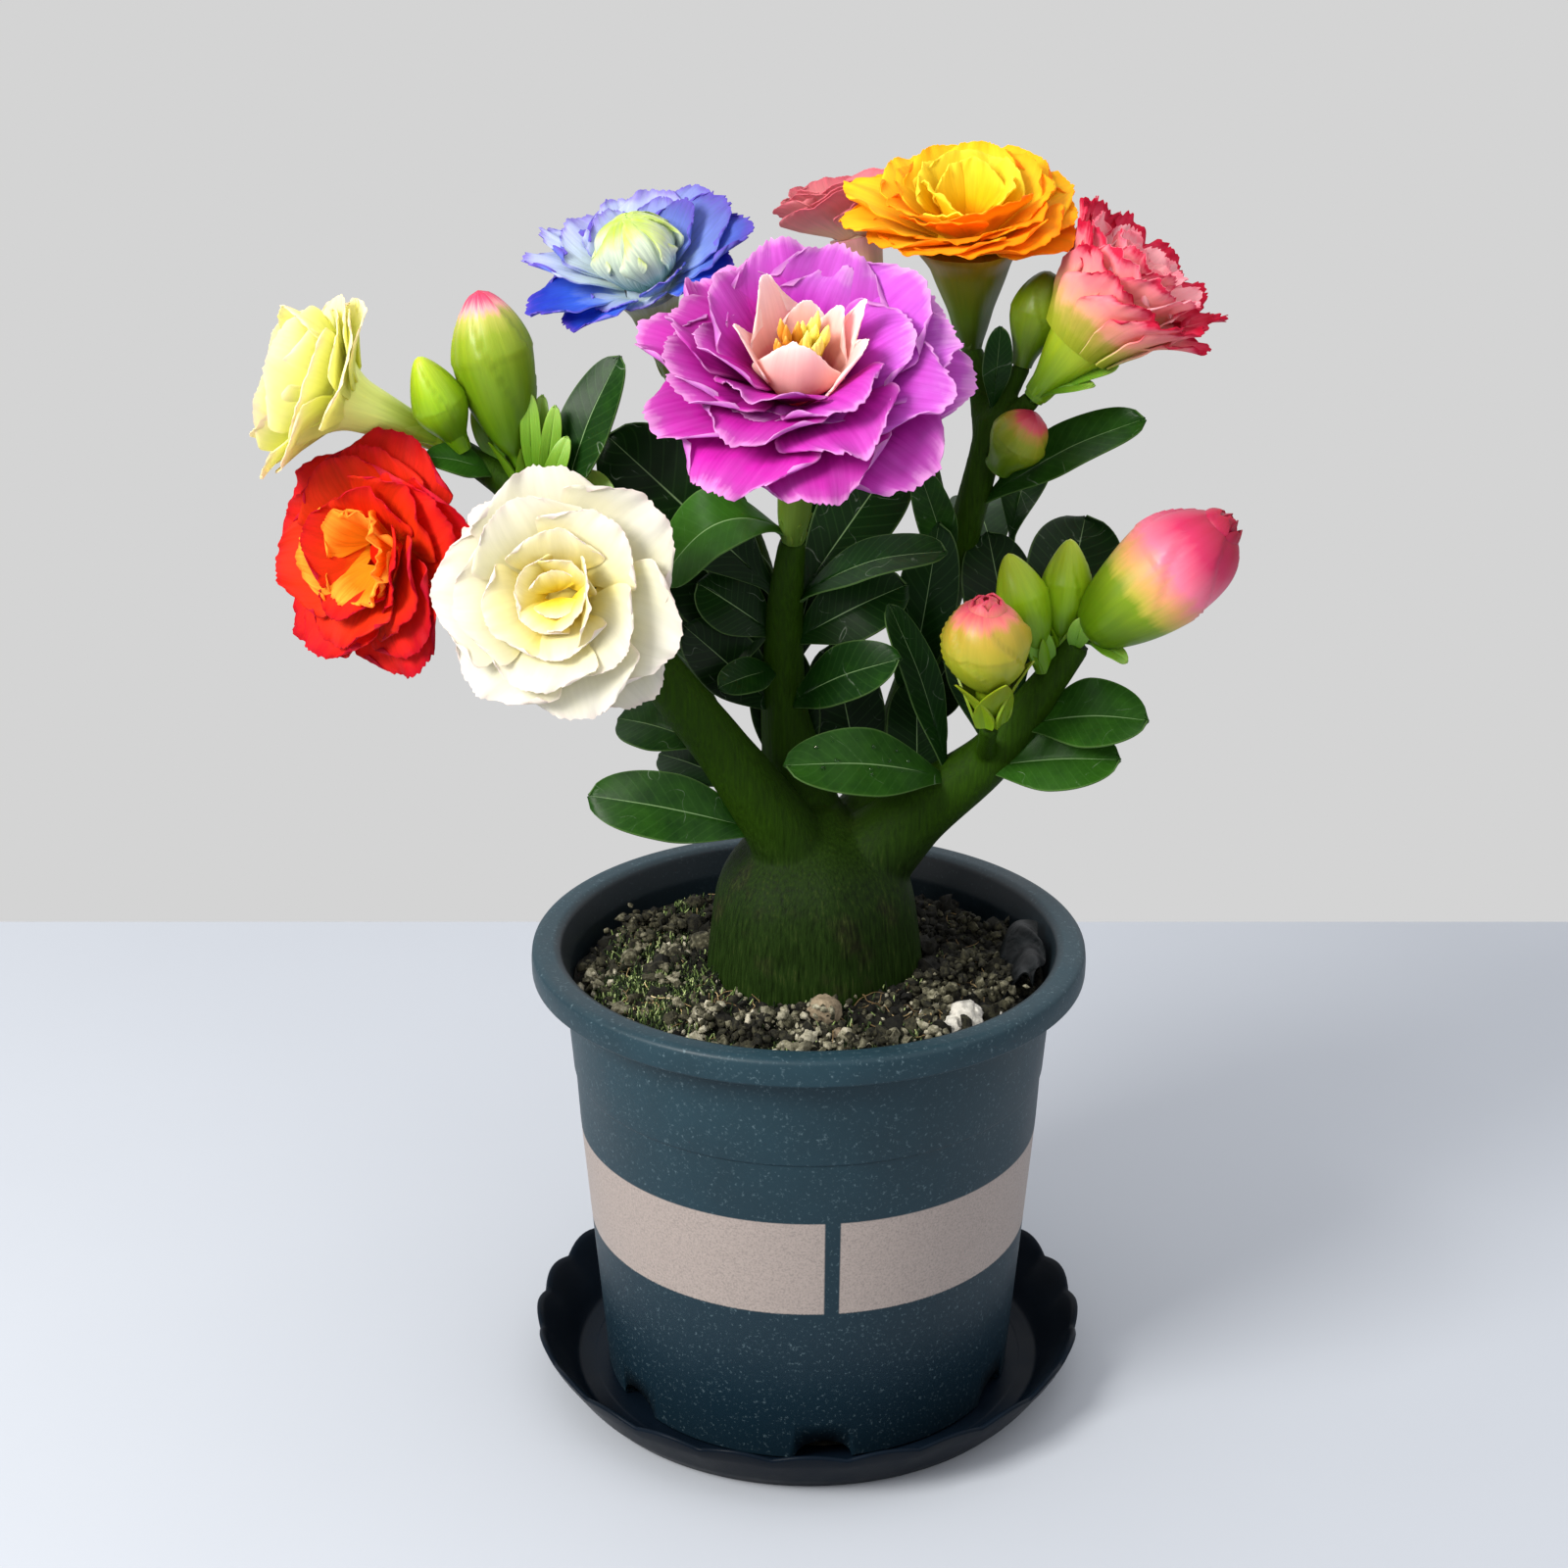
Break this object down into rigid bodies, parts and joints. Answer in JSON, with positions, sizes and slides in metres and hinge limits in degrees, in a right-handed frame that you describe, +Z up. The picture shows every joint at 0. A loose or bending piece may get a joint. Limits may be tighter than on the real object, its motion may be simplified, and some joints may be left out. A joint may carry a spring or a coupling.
{
  "type": "potted desert rose plant",
  "caption": "Desert rose with a swollen green stem, glossy leaves, buds and ruffled double blooms, in a banded plastic pot on a scalloped saucer.",
  "frame": {"origin": "centre of the saucer's flat underside, where the part stands", "axes": "+Z up along the pot's axis, -Y towards the side that the picture shows, +X to its right"},
  "size_m": [0.223, 0.1411, 0.3077],
  "materials": {
    "pot_plastic": "satin moulded polypropylene with a fine pale speckle and a matt printed band",
    "saucer_plastic": "semi-gloss moulded polypropylene",
    "potting_soil": "loose dark potting mix with pale crumbs",
    "pebble": "dry baked clay",
    "perlite": "dry expanded glass, chalky",
    "green_bark": "smooth living skin of a succulent stem, slightly waxy",
    "leaf": "thick glossy leaf with a pale midrib",
    "bud_skin": "smooth waxy green, some with pink furled tips",
    "tube_skin": "soft waxy corolla tube with a lobed calyx",
    "stamen": "dusty yellow anthers",
    "petal_purple": "soft translucent petals, purple with lilac edges",
    "petal_cream": "soft translucent petals, cream with a yellow centre",
    "petal_red": "soft translucent petals, red to orange",
    "petal_yellow": "soft translucent petals, pale yellow",
    "petal_blue": "soft translucent petals, blue edges and a mint centre",
    "petal_orange": "soft translucent petals, orange with a yellow centre",
    "petal_coral": "soft translucent petals, crimson edges on pink",
    "petal_dusty": "soft translucent petals, dusty rose",
    "heart_pink": "soft translucent petals, pale pink",
    "heart_amber": "soft translucent petals, orange-yellow",
    "heart_mint": "soft translucent petals, mint with a lime middle",
    "heart_gold": "soft translucent petals, bright yellow"
  },
  "bodies": {
    "root": {"saucer": "saucer_plastic", "pot": "pot_plastic", "soil": "potting_soil", "clay_pebble": "pebble", "perlite_lump": "perlite", "stem": "green_bark", "leaf_low_left": "leaf", "leaf_front_low": "leaf", "leaf_centre_level": "leaf", "leaf_pale_rib": "leaf", "leaf_under_rib": "leaf", "leaf_dark_rounded": "leaf", "leaf_hanging_light": "leaf", "leaf_dark_back": "leaf", "leaf_low_dark": "leaf", "leaf_inner_right": "leaf", "leaf_narrow_cross": "leaf", "leaf_narrow_down": "leaf", "leaf_behind_left": "leaf", "leaf_behind_left_low": "leaf", "leaf_right_upper": "leaf", "leaf_right_round_a": "leaf", "leaf_right_round_b": "leaf", "leaf_right_low_a": "leaf", "leaf_right_low_b": "leaf", "leaf_upright_left": "leaf", "leaf_under_purple": "leaf", "leaf_upright_behind": "leaf", "sprig_back_left": "leaf", "sprig_back_right": "leaf", "bud_large_pink": "bud_skin", "bud_round_tipped": "bud_skin", "bud_green_right_a": "bud_skin", "bud_green_right_b": "bud_skin", "bud_tipped_left": "bud_skin", "bud_green_left": "bud_skin", "bud_green_tall": "bud_skin", "bud_small_tipped": "bud_skin", "tube_purple": "tube_skin", "petals_purple": "petal_purple", "heart_purple": "heart_pink", "stamens_purple": "stamen", "tube_cream": "tube_skin", "petals_cream": "petal_cream", "tube_red": "tube_skin", "petals_red": "petal_red", "heart_red": "heart_amber", "tube_yellow": "tube_skin", "petals_yellow": "petal_yellow", "tube_blue": "tube_skin", "petals_blue": "petal_blue", "heart_blue": "heart_mint", "tube_orange": "tube_skin", "petals_orange": "petal_orange", "heart_orange": "heart_gold", "tube_coral": "tube_skin", "petals_coral": "petal_coral", "heart_coral": "heart_pink", "tube_dusty": "tube_skin", "petals_dusty": "petal_dusty"}
  },
  "joints": []
}
